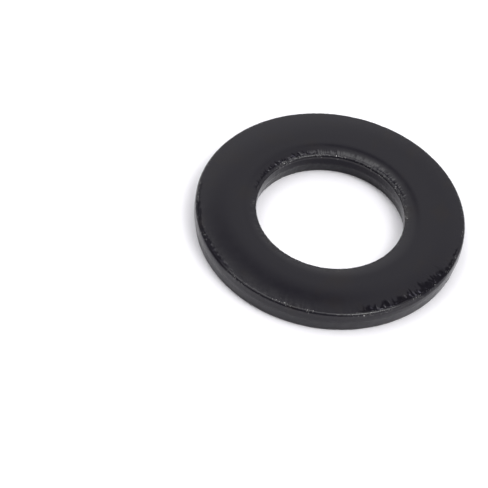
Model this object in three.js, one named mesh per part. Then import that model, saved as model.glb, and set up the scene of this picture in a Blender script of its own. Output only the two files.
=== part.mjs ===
// A plain flat washer for an M12 bolt: one ring of sheet steel, blanked and pierced in a press.
// Units are millimetres. The origin is the centre of the bore on the lower face, and +Z runs up the bore.

import * as THREE from "three";

// Driving dimensions. The M12 size allows a bore of 13.00 to 13.27, an outside diameter of 23.48 to 24.00
// and a thickness of 2.3 to 2.7.
const OUTER_DIAMETER = 23.9;
const BORE_DIAMETER = 13.1;
const THICKNESS = 2.5;

// The upper face is level on a ring near its middle, the crest. From there it rolls down to both edges.
const CREST_INNER_RADIUS = 8.1;
const CREST_OUTER_RADIUS = 8.7;
const OUTER_ROLL_DROP = 0.28;
const BORE_ROLL_DROP = 0.24;
const ROLL_POWER = 2;

// Tumbling rounds all four edges, and the lower pair less.
const UPPER_EDGE_RADIUS = 0.28;
const LOWER_EDGE_RADIUS = 0.15;

// The press shears each wall straight for this share of the thickness, measured down from the crest.
// Below that the metal breaks, so the outside draws in and the bore opens out.
const SHEARED_SHARE = 0.5;
const OUTER_BREAK = 0.18;
const BORE_BREAK = 0.24;

// Steps round the ring, along each roll and round each edge.
const RING_STEPS = 96;
const ROLL_STEPS = 4;
const UPPER_EDGE_STEPS = 3;
const LOWER_EDGE_STEPS = 2;

const OUTER_RADIUS = OUTER_DIAMETER / 2;
const BORE_RADIUS = BORE_DIAMETER / 2;
const BREAK_HEIGHT = THICKNESS * (1 - SHEARED_SHARE);
const OUTWARD = 0;
const UPWARD = Math.PI / 2;
const INWARD = Math.PI;
const DOWNWARD = 1.5 * Math.PI;

// Points of a roll, from the crest towards the edge rounding, whose own first point ends the roll.
function rollPoints(crestRadius, edgeRadius, drop) {
  const points = [];
  for (let step = 0; step < ROLL_STEPS; step += 1) {
    const share = step / ROLL_STEPS;
    const radius = crestRadius + (edgeRadius - crestRadius) * share;
    points.push(new THREE.Vector2(radius, THICKNESS - drop * share ** ROLL_POWER));
  }
  return points;
}

// Points of a rounded edge: an arc about a centre in the section, from one direction to another.
function edgePoints(centre, edgeRadius, start, end, steps) {
  const points = [];
  for (let step = 0; step <= steps; step += 1) {
    const angle = start + ((end - start) * step) / steps;
    const offset = new THREE.Vector2(Math.cos(angle), Math.sin(angle)).multiplyScalar(edgeRadius);
    points.push(offset.add(centre));
  }
  return points;
}

// The outside of the section: up the outer wall, from the lower edge to the crest.
function outerWallPoints() {
  const lowerRadius = OUTER_RADIUS - OUTER_BREAK - LOWER_EDGE_RADIUS;
  const lowerCentre = new THREE.Vector2(lowerRadius, LOWER_EDGE_RADIUS);
  const upperRadius = OUTER_RADIUS - UPPER_EDGE_RADIUS;
  const upperCentre = new THREE.Vector2(upperRadius, THICKNESS - OUTER_ROLL_DROP - UPPER_EDGE_RADIUS);
  return [
    ...edgePoints(lowerCentre, LOWER_EDGE_RADIUS, DOWNWARD - 2 * Math.PI, OUTWARD, LOWER_EDGE_STEPS),
    new THREE.Vector2(OUTER_RADIUS, BREAK_HEIGHT),
    ...edgePoints(upperCentre, UPPER_EDGE_RADIUS, OUTWARD, UPWARD, UPPER_EDGE_STEPS),
    ...rollPoints(CREST_OUTER_RADIUS, upperRadius, OUTER_ROLL_DROP).reverse(),
  ];
}

// The inside of the section: down the bore wall, from the crest to the lower edge.
function boreWallPoints() {
  const lowerRadius = BORE_RADIUS + BORE_BREAK + LOWER_EDGE_RADIUS;
  const lowerCentre = new THREE.Vector2(lowerRadius, LOWER_EDGE_RADIUS);
  const upperRadius = BORE_RADIUS + UPPER_EDGE_RADIUS;
  const upperCentre = new THREE.Vector2(upperRadius, THICKNESS - BORE_ROLL_DROP - UPPER_EDGE_RADIUS);
  return [
    ...rollPoints(CREST_INNER_RADIUS, upperRadius, BORE_ROLL_DROP),
    ...edgePoints(upperCentre, UPPER_EDGE_RADIUS, UPWARD, INWARD, UPPER_EDGE_STEPS),
    new THREE.Vector2(BORE_RADIUS, BREAK_HEIGHT),
    ...edgePoints(lowerCentre, LOWER_EDGE_RADIUS, INWARD, DOWNWARD, LOWER_EDGE_STEPS),
  ];
}

// The washer: the closed section turned once round the bore's axis, with that axis stood up along +Z.
function makeWasher() {
  const section = [...outerWallPoints(), ...boreWallPoints()];
  section.push(section[0].clone());
  const geometry = new THREE.LatheGeometry(section, RING_STEPS);
  geometry.rotateX(UPWARD);
  const blackSteel = new THREE.MeshStandardMaterial({ color: 0x1b1b1d, roughness: 0.35, metalness: 0.6 });
  const mesh = new THREE.Mesh(geometry, blackSteel);
  mesh.name = "washer";
  return mesh;
}

const flatWasher = new THREE.Group();
flatWasher.add(makeWasher());

export default flatWasher;
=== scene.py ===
"""A black M12 flat washer on a pale studio floor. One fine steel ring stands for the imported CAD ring.

Section sizes are in millimetres, as in the CAD, and turn into metres when the mesh is made. Angles round the
ring are in degrees from the side nearest the camera (-Y), growing towards +X.
"""

import math

import bpy
import numpy as np
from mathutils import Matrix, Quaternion, Vector


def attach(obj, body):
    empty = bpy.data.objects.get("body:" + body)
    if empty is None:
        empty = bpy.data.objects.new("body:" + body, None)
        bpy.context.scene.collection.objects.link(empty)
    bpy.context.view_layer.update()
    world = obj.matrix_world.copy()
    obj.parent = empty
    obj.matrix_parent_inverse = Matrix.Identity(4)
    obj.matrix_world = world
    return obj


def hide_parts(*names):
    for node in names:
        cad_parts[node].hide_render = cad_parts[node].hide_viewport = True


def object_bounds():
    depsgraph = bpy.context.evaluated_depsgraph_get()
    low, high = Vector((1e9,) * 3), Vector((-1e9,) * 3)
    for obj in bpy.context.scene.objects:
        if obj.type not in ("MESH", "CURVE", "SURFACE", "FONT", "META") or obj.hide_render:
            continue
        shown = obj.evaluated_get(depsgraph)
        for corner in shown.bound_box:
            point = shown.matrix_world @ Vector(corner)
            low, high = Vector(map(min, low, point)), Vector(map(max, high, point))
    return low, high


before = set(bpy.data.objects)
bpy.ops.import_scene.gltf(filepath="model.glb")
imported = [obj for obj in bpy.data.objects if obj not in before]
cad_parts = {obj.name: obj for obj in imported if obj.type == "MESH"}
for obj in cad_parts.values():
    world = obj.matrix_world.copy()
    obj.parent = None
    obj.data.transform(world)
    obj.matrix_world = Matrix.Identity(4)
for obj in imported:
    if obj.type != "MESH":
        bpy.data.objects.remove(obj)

cad_low, cad_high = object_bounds()

# ---------------------------------------------------------------- the washer's section
MM = 0.001
cad_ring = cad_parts["washer"]
OUTER_RADIUS = (cad_high.x - cad_low.x) / 2 / MM
BORE_RADIUS = min(math.hypot(v.co.x, v.co.y) for v in cad_ring.data.vertices) / MM
THICKNESS = (cad_high.z - cad_low.z) / MM
CREST_INNER_RADIUS = 8.1
CREST_OUTER_RADIUS = 8.7
OUTER_ROLL_DROP = 0.28
BORE_ROLL_DROP = 0.24
ROLL_POWER = 2.0
UPPER_EDGE_RADIUS = 0.28
LOWER_EDGE_RADIUS = 0.15
SHEARED_SHARE = 0.5
OUTER_BREAK = 0.18
BORE_BREAK = 0.24

COLUMNS = 1160       # steps round the ring
OUTER_ROLL_ROWS = 19
BORE_ROLL_ROWS = 13
CREST_ROWS = 2
UPPER_EDGE_ROWS = 8
LOWER_EDGE_ROWS = 4
WALL_ROWS = 11
UNDERSIDE_ROWS = 3
ROW_CROWDING = 1.5   # how much closer the rows of a roll stand near its edge

SEED = 12
rng = np.random.default_rng(SEED)


def roll_rows(crest_radius, edge_radius, drop, count):
    """Rows of a roll of the upper face, from the crest towards its edge rounding."""
    share = 1 - np.linspace(1, 0, count, endpoint=False) ** ROW_CROWDING
    return crest_radius + (edge_radius - crest_radius) * share, THICKNESS - drop * share**ROLL_POWER


def arc_rows(centre_radius, centre_height, radius, start, end, count):
    """Rows of a rounded edge, from one direction in the section to another, in degrees."""
    angle = np.radians(np.linspace(start, end, count))
    return centre_radius + radius * np.cos(angle), centre_height + radius * np.sin(angle)


def wall_rows(lower_height, upper_height):
    """Heights of a wall's rows, without its two end rows, which belong to the edges."""
    return np.linspace(lower_height, upper_height, WALL_ROWS + 2)[1:-1]


def section():
    """The section's rows in order round it: radius, height, and the name of the zone each row lies in."""
    outer_top = THICKNESS - OUTER_ROLL_DROP - UPPER_EDGE_RADIUS
    bore_top = THICKNESS - BORE_ROLL_DROP - UPPER_EDGE_RADIUS
    outer_edge = OUTER_RADIUS - UPPER_EDGE_RADIUS
    bore_edge = BORE_RADIUS + UPPER_EDGE_RADIUS
    outer_foot = OUTER_RADIUS - OUTER_BREAK - LOWER_EDGE_RADIUS
    bore_foot = BORE_RADIUS + BORE_BREAK + LOWER_EDGE_RADIUS
    outer_wall = wall_rows(LOWER_EDGE_RADIUS, outer_top)[::-1]
    bore_wall = wall_rows(LOWER_EDGE_RADIUS, bore_top)
    crest = np.linspace(CREST_INNER_RADIUS, CREST_OUTER_RADIUS, CREST_ROWS, endpoint=False)
    underside = np.linspace(outer_foot, bore_foot, UNDERSIDE_ROWS + 2)[1:-1]
    bore_roll = roll_rows(CREST_INNER_RADIUS, bore_edge, BORE_ROLL_DROP, BORE_ROLL_ROWS)
    outer_roll = roll_rows(CREST_OUTER_RADIUS, outer_edge, OUTER_ROLL_DROP, OUTER_ROLL_ROWS)
    zones = [
        ("face", (crest, np.full(CREST_ROWS, THICKNESS))),
        ("face", outer_roll),
        ("outer_edge", arc_rows(outer_edge, outer_top, UPPER_EDGE_RADIUS, 90, 0, UPPER_EDGE_ROWS)),
        ("outer_wall", (np.full(WALL_ROWS, OUTER_RADIUS), outer_wall)),
        ("outer_foot", arc_rows(outer_foot, LOWER_EDGE_RADIUS, LOWER_EDGE_RADIUS, 0, -90, LOWER_EDGE_ROWS)),
        ("underside", (underside, np.zeros(UNDERSIDE_ROWS))),
        ("bore_foot", arc_rows(bore_foot, LOWER_EDGE_RADIUS, LOWER_EDGE_RADIUS, 270, 180, LOWER_EDGE_ROWS)),
        ("bore_wall", (np.full(WALL_ROWS, BORE_RADIUS), bore_wall)),
        ("bore_edge", arc_rows(bore_edge, bore_top, UPPER_EDGE_RADIUS, 180, 90, UPPER_EDGE_ROWS)),
        # Back up the roll by the bore, and no further: the crest's own row is the first of all.
        ("face", (bore_roll[0][:0:-1], bore_roll[1][:0:-1])),
    ]
    radius = np.concatenate([rows[0] for _, rows in zones])
    height = np.concatenate([rows[1] for _, rows in zones])
    zone = np.concatenate([np.full(len(rows[0]), name) for name, rows in zones])
    return radius, height, zone


def section_normals(radius, height):
    """The direction out of the metal at each row, as its radial and its upward part."""
    across = np.roll(radius, -1) - np.roll(radius, 1)
    up = np.roll(height, -1) - np.roll(height, 1)
    length = np.hypot(across, up)
    return -up / length, across / length


def in_zones(zone, *names):
    """1 on the rows of the named zones and 0 on the others, as a column."""
    return np.isin(zone, names).astype(float)[:, None]


# ---------------------------------------------------------------- noise and sectors on the ring
SECTOR_CORE = 0.6    # share of a sector's half width that is at full strength


def ring_noise(cells_round, cells_across, rows):
    """Smooth noise from -1 to 1 on the grid of rows and columns. It has no seam round the ring."""
    # Each cell takes four knots, so a line of cells with two ends needs three knots more than cells.
    knots = rng.uniform(-1, 1, (cells_across + 3, cells_round))
    across = np.linspace(0, cells_across, rows)
    around = np.arange(COLUMNS) / COLUMNS * cells_round
    row_cell = np.minimum(across.astype(int), cells_across - 1)
    column_cell = around.astype(int)
    row_weights = bump_weights(across - row_cell)
    column_weights = bump_weights(around - column_cell)
    total = np.zeros((rows, COLUMNS))
    for i, row_weight in enumerate(row_weights):
        for j, column_weight in enumerate(column_weights):
            knot = knots[(row_cell + i)[:, None], ((column_cell + j) % cells_round)[None, :]]
            total += row_weight[:, None] * column_weight[None, :] * knot
    return total


def bump_weights(part):
    """The four cubic B-spline weights at a part of the way through a cell."""
    return (
        (1 - part) ** 3 / 6,
        (3 * part**3 - 6 * part**2 + 4) / 6,
        (-3 * part**3 + 3 * part**2 + 3 * part + 1) / 6,
        part**3 / 6,
    )


def smooth_step(low, high, value):
    """0 below low, 1 above high, and smooth between them."""
    share = np.clip((value - low) / (high - low), 0, 1)
    return share * share * (3 - 2 * share)


def sector(middle, half_width):
    """1 round the middle angle and 0 beyond the half width, with soft ends. Both are in degrees."""
    degrees = np.arange(COLUMNS) / COLUMNS * 360
    aside = np.abs((degrees - middle + 180) % 360 - 180)
    return 1 - smooth_step(SECTOR_CORE * half_width, half_width, aside)


# ---------------------------------------------------------------- the washer's surface
# Cell counts say how many cells of noise go round the ring and, where there are two, across its rows too.
FACE_WAVE = 0.003            # low waves of the sheet
FACE_WAVE_CELLS = (9, 3)

# Fine radial ripple where the press rolled the metal over an edge. It begins at one radius and is full at
# another, and fades where the surface turns down towards a wall.
OUTER_RIPPLE = 0.016
OUTER_RIPPLE_START = 10.7
OUTER_RIPPLE_FULL = 11.6
BORE_RIPPLE = 0.062
BORE_RIPPLE_START = 7.24
BORE_RIPPLE_FULL = 6.92
RIPPLE_CELLS = 560
RIPPLE_CELLS_ACROSS = 7
BROAD_RIPPLE = 0.3           # a second ripple, as a share of the fine one, with a third of its cells
BROAD_RIPPLE_CELLS = RIPPLE_CELLS // 3
RIPPLE_STRENGTH = 0.7
RIPPLE_FADE_POWER = 4
SCUFFED_SECTOR = (-48, 50)   # middle and half width of the side where tumbling scuffed the ripple most
SCUFFED_STRENGTH = 0.5       # how much stronger the ripple is there

# Ragged torn bevels beside the edges: which edge, middle and half width in degrees, width across, and drop.
TORN_BEVELS = [
    ("outer", 40, 24, 0.46, 0.045),
    ("outer", 51, 16, 0.60, 0.055),
    ("outer", 68, 14, 0.14, 0.020),
    ("outer", -68, 30, 0.15, 0.020),
    ("bore", -132, 36, 0.24, 0.016),
    ("bore", 132, 22, 0.13, 0.010),
]
# How far a bevel's ragged side wanders, finely and broadly, as shares of its width.
TORN_FINGERS = 1.8
TORN_FINGER_CELLS = (560, 36)
TORN_DRIFT = 0.4
TORN_DRIFT_CELLS = 60
NARROWEST_BEVEL = 0.02
TORN_PITS = 0.05
TORN_PIT_CELLS = (560, 72)
TORN_PIT_FULL = 0.3          # share of the way into a bevel at which its pits are full

# How much less the oxide shines in torn bevels, from 0 to 1. The outer and the bore wall are given the same
# loss of shine, but that is painted shade: it darkens the walls as if they lay in shadow.
TORN_DULLNESS = 0.72
OUTER_WALL_PAINTED_SHADE = 0.2
BORE_WALL_PAINTED_SHADE = 0.7
# Stretches of the upper outer edge that are dull as well: middle and half width in degrees.
DULL_EDGES = [(-66, 26), (60, 16)]

SHEAR_STREAK = 0.006         # streaks up and down the sheared walls
SHEAR_STREAK_CELLS = (420, 2)
BURNISH_BAND = 0.005         # bands along the walls, from the punch and die
BURNISH_BAND_CELLS = (9, 41)
BREAK_ROUGHNESS = 0.014      # torn metal below the line where the sheet broke
BREAK_ROUGHNESS_CELLS = (210, 27)
BREAK_ROUGHNESS_FULL = 0.25  # share of the way below the line at which it is full
BREAK_LOOK_FULL = 0.15       # and at which the material shows it in full
BREAK_LINE_WAVE = 0.14       # how far that line wanders up and down, broadly and finely
BREAK_LINE_WAVE_CELLS = 23
BREAK_LINE_RAG = 0.05
BREAK_LINE_RAG_CELLS = 170

# Nicks from tumbling. Height, spread and depth are each drawn between two values.
OUTER_NICKS = 150
BORE_NICKS = 50
NICK_INSET = 0.1             # how far into the metal from a wall the nicks are centred
NICK_HEIGHTS = (THICKNESS - 0.45, THICKNESS - 0.2)
NICK_SPREAD = (0.04, 0.14)
NICK_DEPTH = (0.004, 0.024)

ROLLED_LOOK = 0.5            # how much of the rolled metal's look shows away from the scuffed side


def rolled_shares(radius, upper):
    """How far each row of the upper side is into the rolled metal, by the outside and by the bore."""
    near_outside = upper * smooth_step(OUTER_RIPPLE_START, OUTER_RIPPLE_FULL, radius)[:, None]
    near_bore = upper * smooth_step(BORE_RIPPLE_START, BORE_RIPPLE_FULL, radius)[:, None]
    return near_outside, near_bore


def roll_ripple(radius, upper, up):
    """Fine radial ripple near both edges of the upper side."""
    near_outside, near_bore = rolled_shares(radius, upper)
    outside = OUTER_RIPPLE * near_outside * ripple(len(radius))
    both = outside + BORE_RIPPLE * near_bore * ripple(len(radius))
    return both * np.clip(up, 0, 1)[:, None] ** RIPPLE_FADE_POWER


def ripple(rows):
    """Noise drawn out across the rows, in a finer and a broader part, strongest on the scuffed side."""
    strength = RIPPLE_STRENGTH + SCUFFED_STRENGTH * sector(*SCUFFED_SECTOR)
    fine = ring_noise(RIPPLE_CELLS, RIPPLE_CELLS_ACROSS, rows)
    broad = ring_noise(BROAD_RIPPLE_CELLS, RIPPLE_CELLS_ACROSS, rows)
    return strength * (fine + BROAD_RIPPLE * broad)


def torn_bevel(radius, side, middle, half_width, width):
    """How far each point is into one ragged bevel: 0 before it, and 1 at the edge rounding."""
    to_outer_edge = OUTER_RADIUS - UPPER_EDGE_RADIUS - radius
    to_bore_edge = radius - BORE_RADIUS - UPPER_EDGE_RADIUS
    distance = np.maximum(to_outer_edge if side == "outer" else to_bore_edge, 0)
    fingers = TORN_FINGERS * ring_noise(*TORN_FINGER_CELLS, len(radius))
    ragged = fingers + TORN_DRIFT * ring_noise(TORN_DRIFT_CELLS, 1, 1)
    wide = np.maximum(width * (1 + ragged), NARROWEST_BEVEL)
    return np.clip(1 - distance[:, None] / wide, 0, 1) * sector(middle, half_width)


def torn_bevels(radius, upper, face):
    """All the torn bevels: how deep they go at each point, and how pitted the face is there, from 0 to 1."""
    depth = np.zeros((len(radius), COLUMNS))
    pitted = np.zeros((len(radius), COLUMNS))
    for side, middle, half_width, width, drop in TORN_BEVELS:
        torn = torn_bevel(radius, side, middle, half_width, width) * upper
        depth += drop * torn
        pitted = np.maximum(pitted, smooth_step(0, TORN_PIT_FULL, torn) * face)
    depth += TORN_PITS * pitted * ring_noise(*TORN_PIT_CELLS, len(radius))
    return depth, pitted


def below_break(height):
    """How far each point is below the line where the sheet broke: 0 above it, and 1 at the lower edge."""
    line = THICKNESS * (1 - SHEARED_SHARE)
    line = line + BREAK_LINE_WAVE * ring_noise(BREAK_LINE_WAVE_CELLS, 1, 1)
    line = line + BREAK_LINE_RAG * ring_noise(BREAK_LINE_RAG_CELLS, 1, 1)
    return np.clip((line - height[:, None]) / (line - LOWER_EDGE_RADIUS), 0, 1)


def wall_marks(wall, below):
    """Shear streaks and burnish bands on the walls, and torn metal below the break line."""
    rows = len(wall)
    streaks = SHEAR_STREAK * ring_noise(*SHEAR_STREAK_CELLS, rows)
    bands = BURNISH_BAND * ring_noise(*BURNISH_BAND_CELLS, rows)
    broken = smooth_step(0, BREAK_ROUGHNESS_FULL, below)
    torn = BREAK_ROUGHNESS * broken * ring_noise(*BREAK_ROUGHNESS_CELLS, rows)
    return wall * (streaks + bands + torn)


def nicks(points, count, radius):
    """Small dents at random places round one upper edge, as a depth at each point."""
    depth = np.zeros(points.shape[:-1])
    for angle, height, spread, deep in zip(
        rng.uniform(0, 2 * math.pi, count),
        rng.uniform(*NICK_HEIGHTS, count),
        rng.uniform(*NICK_SPREAD, count),
        rng.uniform(*NICK_DEPTH, count),
    ):
        centre = np.array([radius * math.sin(angle), -radius * math.cos(angle), height])
        distance = np.linalg.norm(points - centre, axis=-1)
        depth = np.maximum(depth, deep * np.exp(-((distance / spread) ** 2) / 2))
    return depth


def ring_points(radii, heights):
    """Grid points from radii and heights, a column for each step round the ring."""
    around = np.arange(COLUMNS) / COLUMNS * 2 * math.pi
    return np.stack([radii * np.sin(around), -radii * np.cos(around), heights], -1)


def ring_faces(rows):
    """Four-sided faces between neighbouring rows and columns, closed both ways."""
    row = np.arange(rows)[:, None] * COLUMNS
    after = np.roll(np.arange(rows), -1)[:, None] * COLUMNS
    column = np.arange(COLUMNS)[None, :]
    beside = np.roll(np.arange(COLUMNS), -1)[None, :]
    corners = [row + column, after + column, after + beside, row + beside]
    return np.stack(corners, -1).reshape(-1, 4).tolist()


def make_ring():
    """The washer as one closed mesh: the section swept round the bore and marked by press and tumbling."""
    radius, height, zone = section()
    rows = len(radius)
    face = in_zones(zone, "face")
    upper = in_zones(zone, "face", "outer_edge", "bore_edge")
    wall = in_zones(zone, "outer_wall", "outer_foot", "bore_wall", "bore_foot")

    below = below_break(height)
    drawn_in = in_zones(zone, "outer_wall") * OUTER_BREAK * below
    opened_out = in_zones(zone, "bore_wall") * BORE_BREAK * below
    radii = radius[:, None] - drawn_in + opened_out
    heights = np.repeat(height[:, None], COLUMNS, axis=1)

    across, up = section_normals(radius, height)
    out = FACE_WAVE * upper * ring_noise(*FACE_WAVE_CELLS, rows)
    out += roll_ripple(radius, upper, up)
    torn_depth, pitted = torn_bevels(radius, upper, face)
    out -= torn_depth
    out += wall_marks(wall, below)
    unmarked = ring_points(radii, heights)
    out -= nicks(unmarked, OUTER_NICKS, OUTER_RADIUS - NICK_INSET)
    out -= nicks(unmarked, BORE_NICKS, BORE_RADIUS + NICK_INSET)
    points = ring_points(radii + out * across[:, None], np.maximum(heights + out * up[:, None], 0))

    mesh = bpy.data.meshes.new("steel_ring")
    mesh.from_pydata((points * MM).reshape(-1, 3).tolist(), [], ring_faces(rows))
    mesh.shade_smooth()
    add_attribute(mesh, "broken", rows, wall * smooth_step(0, BREAK_LOOK_FULL, below))
    # The walls' share of this attribute is painted shade: it makes them shine less so they look darker.
    add_attribute(mesh, "dull_and_shade", rows, dullness_and_painted_shade(zone, pitted))
    add_attribute(mesh, "wall", rows, wall)
    add_attribute(mesh, "rolled", rows, rolled_look(radius, upper))
    add_attribute(mesh, "edge", rows, in_zones(zone, "outer_edge", "bore_edge", "outer_foot", "bore_foot"))
    ring = bpy.data.objects.new("steel_ring", mesh)
    bpy.context.scene.collection.objects.link(ring)
    return ring


def dullness_and_painted_shade(zone, pitted):
    """How much less the oxide shines at each point: in torn bevels and on duller stretches of edge, and on
    the walls, where it is painted shade that darkens them.
    """
    dull_edges = in_zones(zone, "outer_edge") * sum(sector(*place) for place in DULL_EDGES)
    # Painted shade: the outer and the bore wall are made to shine less, so that they look darker, as if in
    # shadow.
    outer_wall_shade = OUTER_WALL_PAINTED_SHADE * in_zones(zone, "outer_wall", "outer_foot")
    bore_wall_shade = BORE_WALL_PAINTED_SHADE * in_zones(zone, "bore_wall", "bore_foot")
    return np.maximum(TORN_DULLNESS * np.maximum(pitted, dull_edges), outer_wall_shade + bore_wall_shade)


def rolled_look(radius, upper):
    """How much of the rolled metal's look each point has, most of it on the scuffed side."""
    return sum(rolled_shares(radius, upper)) * (ROLLED_LOOK + sector(*SCUFFED_SECTOR))


def add_attribute(mesh, name, rows, values):
    """A value at every vertex, for the material to read."""
    attribute = mesh.attributes.new(name, "FLOAT", "POINT")
    everywhere = np.broadcast_to(values, (rows, COLUMNS))
    attribute.data.foreach_set("value", np.ascontiguousarray(everywhere, dtype=np.float32).ravel())


# ---------------------------------------------------------------- materials
BLACK_OXIDE = (0.0053, 0.0043, 0.0084, 1)
BROWN_OXIDE = (0.0068, 0.0050, 0.0074, 1)
BARE_STEEL = (0.30, 0.295, 0.29, 1)
OIL_IOR = 1.42
PER_MM = 1 / MM

# Noises of the material: scale, detail and roughness. The combs' scale is in cells of the press coordinates.
BLOOM_NOISE = (0.35 * PER_MM, 3, 0.6)
SMEAR_NOISE = (1.1 * PER_MM, 4, 0.6)
GRAIN_NOISE = (9 * PER_MM, 2, 0.5)
COMB_NOISE = (1.0, 3, 0.6)
WORN_NOISE = (0.6 * PER_MM, 2, 0.5)
FLECK_NOISE = (8 * PER_MM, 2, 0.6)
BLOOM_RANGE = (0.52, 0.72)   # noise below the first value shows none of it, and above the second all of it
WORN_RANGE = (0.48, 0.62)
FLECK_RANGE = (0.60, 0.68)
PRESS_CELLS_PER_RADIAN = 50
PRESS_CELLS_PER_MM = 1.3     # along the radius and up the walls

# Roughness and bump strength, each with what is added in smears, on walls and on rolled or broken metal.
ROUGHNESS = 0.09
SMEAR_ROUGHNESS = 0.16
WALL_ROUGHNESS = 0.06
BROKEN_ROUGHNESS = 0.12
COMB_BUMP = 0.02
ROLLED_COMB_BUMP = 0.7
WALL_COMB_BUMP = 0.1
COMB_DEPTH = 0.03 * MM
GRAIN_BUMP = 0.2
ROLLED_GRAIN_BUMP = 0.7
BROKEN_GRAIN_BUMP = 0.6
GRAIN_DEPTH = 0.008 * MM

FLOOR_COLOUR = (0.93, 0.92, 0.955, 1)
FLOOR_ROUGHNESS = 0.9
FLOOR_SHINE = 0.0


def black_steel():
    """Oil-blackened steel: satin, with press marks, fine grain, brown bloom and flecks of bare metal, and
    walls darkened as painted shade.
    """
    material = bpy.data.materials.new("black_steel")
    material.use_nodes = True
    tree = material.node_tree
    shader = tree.nodes["Principled BSDF"]
    shader.inputs["IOR"].default_value = OIL_IOR
    place = tree.nodes.new("ShaderNodeTexCoord").outputs["Object"]
    wall, broken, dull_and_shade = (attribute_value(tree, name) for name in ("wall", "broken", "dull_and_shade"))
    edge, rolled = (attribute_value(tree, name) for name in ("edge", "rolled"))

    bloom = step_between(tree, noise_value(tree, place, *BLOOM_NOISE), *BLOOM_RANGE)
    flecks = fleck_mask(tree, place, edge)
    oxide = mixed(tree, bloom, BLACK_OXIDE, BROWN_OXIDE)
    tree.links.new(mixed(tree, flecks, oxide, BARE_STEEL), shader.inputs["Base Color"])
    # Metallic over the dark oxide colour lowers the shine: real in bare flecks and torn bevels, painted
    # shade on the walls.
    tree.links.new(node_maths(tree, "MAXIMUM", flecks, dull_and_shade), shader.inputs["Metallic"])

    smear = noise_value(tree, place, *SMEAR_NOISE)
    rougher = [(smear, SMEAR_ROUGHNESS), (wall, WALL_ROUGHNESS), (broken, BROKEN_ROUGHNESS)]
    tree.links.new(raised(tree, ROUGHNESS, *rougher), shader.inputs["Roughness"])

    combs = noise_value(tree, press_coordinates(tree, place), *COMB_NOISE)
    comb_strength = raised(tree, COMB_BUMP, (rolled, ROLLED_COMB_BUMP), (wall, WALL_COMB_BUMP))
    normal = bumped(tree, combs, comb_strength, COMB_DEPTH, None)
    grain = noise_value(tree, place, *GRAIN_NOISE)
    grain_strength = raised(tree, GRAIN_BUMP, (rolled, ROLLED_GRAIN_BUMP), (broken, BROKEN_GRAIN_BUMP))
    normal = bumped(tree, grain, grain_strength, GRAIN_DEPTH, normal)
    tree.links.new(normal, shader.inputs["Normal"])
    return material


def press_coordinates(tree, place):
    """Places for noise that runs across the ring: quick round it, slow along the radius and up the walls."""
    flat = vector_maths(tree, "MULTIPLY", place, (1, 1, 0))
    round_ring = vector_maths(tree, "SCALE", vector_maths(tree, "NORMALIZE", flat))
    round_ring.node.inputs["Scale"].default_value = PRESS_CELLS_PER_RADIAN
    radius = vector_maths(tree, "LENGTH", flat)
    height = tree.nodes.new("ShaderNodeSeparateXYZ")
    tree.links.new(place, height.inputs[0])
    across = node_maths(tree, "ADD", radius, height.outputs["Z"])
    upward = tree.nodes.new("ShaderNodeCombineXYZ")
    tree.links.new(node_maths(tree, "MULTIPLY", across, PRESS_CELLS_PER_MM * PER_MM), upward.inputs["Z"])
    return vector_maths(tree, "ADD", round_ring, upward.outputs[0])


def fleck_mask(tree, place, edge):
    """Where the rounded edges have worn through to bare metal: 0 almost everywhere, 1 in small flecks."""
    worn = step_between(tree, noise_value(tree, place, *WORN_NOISE), *WORN_RANGE)
    specks = step_between(tree, noise_value(tree, place, *FLECK_NOISE), *FLECK_RANGE)
    return node_maths(tree, "MULTIPLY", node_maths(tree, "MULTIPLY", worn, specks), edge)


def raised(tree, value, *shares_and_amounts):
    """The value plus each share times its amount."""
    for share, amount in shares_and_amounts:
        value = node_maths(tree, "MULTIPLY_ADD", share, amount, value)
    return value


def node_maths(tree, operation, *values):
    """A Math node on sockets or plain numbers, and its output."""
    node = tree.nodes.new("ShaderNodeMath")
    node.operation = operation
    set_or_link(tree, node.inputs, values)
    return node.outputs[0]


def vector_maths(tree, operation, *values):
    """A Vector Math node on sockets or plain vectors, and its output."""
    node = tree.nodes.new("ShaderNodeVectorMath")
    node.operation = operation
    set_or_link(tree, node.inputs, values)
    return node.outputs["Value" if operation in ("LENGTH", "DOT_PRODUCT") else "Vector"]


def set_or_link(tree, inputs, values):
    """Gives each input its value: a socket is linked, and a number, vector or colour is set."""
    for socket, value in zip(inputs, values):
        if isinstance(value, bpy.types.NodeSocket):
            tree.links.new(value, socket)
        else:
            socket.default_value = value


def attribute_value(tree, name):
    """The output of a node that reads one of the mesh's attributes."""
    node = tree.nodes.new("ShaderNodeAttribute")
    node.attribute_name = name
    return node.outputs["Fac"]


def noise_value(tree, place, scale, detail, roughness):
    """A Noise node's output, from 0 to 1."""
    node = tree.nodes.new("ShaderNodeTexNoise")
    node.inputs["Scale"].default_value = scale
    node.inputs["Detail"].default_value = detail
    node.inputs["Roughness"].default_value = roughness
    tree.links.new(place, node.inputs["Vector"])
    return node.outputs["Fac"]


def step_between(tree, value, low, high):
    """0 where the value is below low, 1 above high, and smooth between them."""
    node = tree.nodes.new("ShaderNodeMapRange")
    node.interpolation_type = "SMOOTHSTEP"
    node.inputs["From Min"].default_value = low
    node.inputs["From Max"].default_value = high
    tree.links.new(value, node.inputs["Value"])
    return node.outputs["Result"]


def mixed(tree, share, first, second):
    """The colour that goes from the first to the second as share goes from 0 to 1."""
    node = tree.nodes.new("ShaderNodeMix")
    node.data_type = "RGBA"
    tree.links.new(share, node.inputs["Factor"])
    colour_inputs = [socket for socket in node.inputs if socket.type == "RGBA"]
    set_or_link(tree, colour_inputs, (first, second))
    return next(socket for socket in node.outputs if socket.type == "RGBA")


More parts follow.
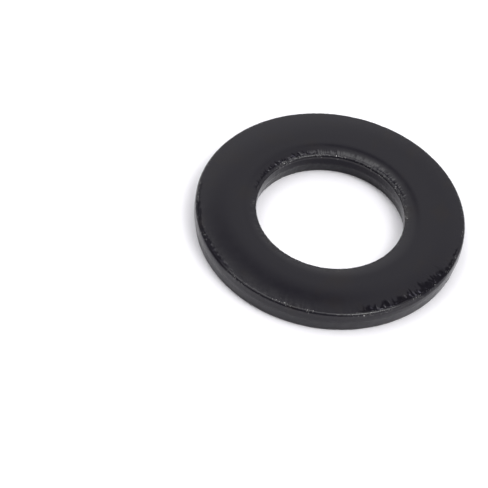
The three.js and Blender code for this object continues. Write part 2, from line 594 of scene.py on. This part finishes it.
def bumped(tree, height, strength, distance, normal):
    """A Bump node on a height, over the normal of an earlier one."""
    node = tree.nodes.new("ShaderNodeBump")
    node.inputs["Distance"].default_value = distance
    tree.links.new(height, node.inputs["Height"])
    tree.links.new(strength, node.inputs["Strength"])
    if normal:
        tree.links.new(normal, node.inputs["Normal"])
    return node.outputs["Normal"]


def pale_floor():
    """A plain matt floor, a little cooler than white."""
    material = bpy.data.materials.new("pale_floor")
    material.use_nodes = True
    shader = material.node_tree.nodes["Principled BSDF"]
    shader.inputs["Base Color"].default_value = FLOOR_COLOUR
    shader.inputs["Roughness"].default_value = FLOOR_ROUGHNESS
    shader.inputs["Specular IOR Level"].default_value = FLOOR_SHINE
    return material


# ---------------------------------------------------------------- the studio
FLOOR_HALF_WIDTH = 1.0    # metres
TENT_TONE = 0.67
# Soft patches of the tent: name, azimuth and elevation in degrees, spread in degrees, and tone added to the
# tent's own. They are seen from the washer: azimuth 0 is +Y, behind it, and 90 is +X.
PATCHES = [
    ("back wall", 0, 44, 20, 0.29),
    ("seam of the back wall", 10, 38, 7, -0.25),
    ("left wall", -65, 25, 20, 0.8),
    ("right wall", 110, 30, 22, 1.0),
    ("room behind the camera", 180, 25, 35, -0.45),
    ("overhead strip, left", -95, 79, 8, 2.4),
    ("overhead strip, middle", 180, 88, 6, 1.5),
    ("overhead strip, right", 100, 83, 7, 1.8),
    ("in front of the strip", 180, 78, 9, -0.5),
    ("spill at the upper left", -57, 68, 6.5, 3.0),
    ("gap at the upper right", 58, 71, 6, -0.6),
    ("gap below the strip", 0, 61, 3.5, -0.64),
    ("gap, left part", -12, 53, 5, -0.52),
    ("gap, right part", 22, 54, 4, -0.22),
    ("camera side", -132, 20, 18, -0.3),
    ("key lamp", 122, 62, 9, 8.5),
    ("fill lamp", -120, 58, 9, 1.5),
]


def direction(azimuth, elevation):
    """The unit vector towards a place in the studio, seen from the washer."""
    turn = math.radians(azimuth)
    rise = math.radians(elevation)
    return Vector((math.sin(turn) * math.cos(rise), math.cos(turn) * math.cos(rise), math.sin(rise)))


def tent():
    """The pale cloth all round the set: one tone, with lit patches and darker gaps."""
    world = bpy.data.worlds.new("tent")
    bpy.context.scene.world = world
    world.use_nodes = True
    tree = world.node_tree
    towards = tree.nodes.new("ShaderNodeTexCoord").outputs["Generated"]
    tone = TENT_TONE
    for name, azimuth, elevation, spread, added in PATCHES:
        tone = patch(tree, name, towards, tone, direction(azimuth, elevation), spread, added)
    tree.links.new(tone, tree.nodes["Background"].inputs["Color"])


def patch(tree, name, towards, tone, centre, spread, added):
    """Adds one soft patch to the tent's tone: it falls off round its centre like a bell curve."""
    along = vector_maths(tree, "DOT_PRODUCT", towards, centre)
    along.node.label = name
    fall_off = node_maths(tree, "SUBTRACT", along, 1.0)
    fall_off = node_maths(tree, "MULTIPLY", fall_off, 1 / math.radians(spread) ** 2)
    lit = node_maths(tree, "MULTIPLY", node_maths(tree, "EXPONENT", fall_off), added)
    return node_maths(tree, "ADD", lit, tone)


def floor():
    """A wide pale floor under the washer."""
    half = FLOOR_HALF_WIDTH
    mesh = bpy.data.meshes.new("floor")
    corners = [(-half, -half, 0), (half, -half, 0), (half, half, 0), (-half, half, 0)]
    mesh.from_pydata(corners, [], [(0, 1, 2, 3)])
    piece = bpy.data.objects.new("floor", mesh)
    piece.data.materials.append(pale_floor())
    bpy.context.scene.collection.objects.link(piece)


# ---------------------------------------------------------------- the camera
CAMERA_ELEVATION = 48.37
CAMERA_ROLL = 9.09
CAMERA_DISTANCE = 293.3 * MM
CAMERA_TARGET = Vector((-7.06, -3.46, 0)) * MM
# The lens and its sensor are in millimetres, and what it can see lies between two distances in metres.
CAMERA_LENS = 246.9
CAMERA_SENSOR = 36
CAMERA_NEAR = 0.01
CAMERA_FAR = 10


def camera():
    """The long lens above the near side. It leans sideways, because the washer leans in the picture."""
    data = bpy.data.cameras.new("camera")
    data.lens = CAMERA_LENS
    data.sensor_width = CAMERA_SENSOR
    data.clip_start = CAMERA_NEAR
    data.clip_end = CAMERA_FAR
    piece = bpy.data.objects.new("camera", data)
    back = direction(180, CAMERA_ELEVATION)
    level = (-back).to_track_quat("-Z", "Y")
    piece.rotation_mode = "QUATERNION"
    piece.rotation_quaternion = level @ Quaternion((0, 0, 1), math.radians(CAMERA_ROLL))
    piece.location = CAMERA_TARGET + back * CAMERA_DISTANCE
    bpy.context.scene.collection.objects.link(piece)
    bpy.context.scene.camera = piece


# ---------------------------------------------------------------- putting it together
bpy.context.scene.view_settings.view_transform = "Standard"
camera()
tent()
floor()
ring = make_ring()
ring.data.materials.append(black_steel())
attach(ring, "root")
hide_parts("washer")
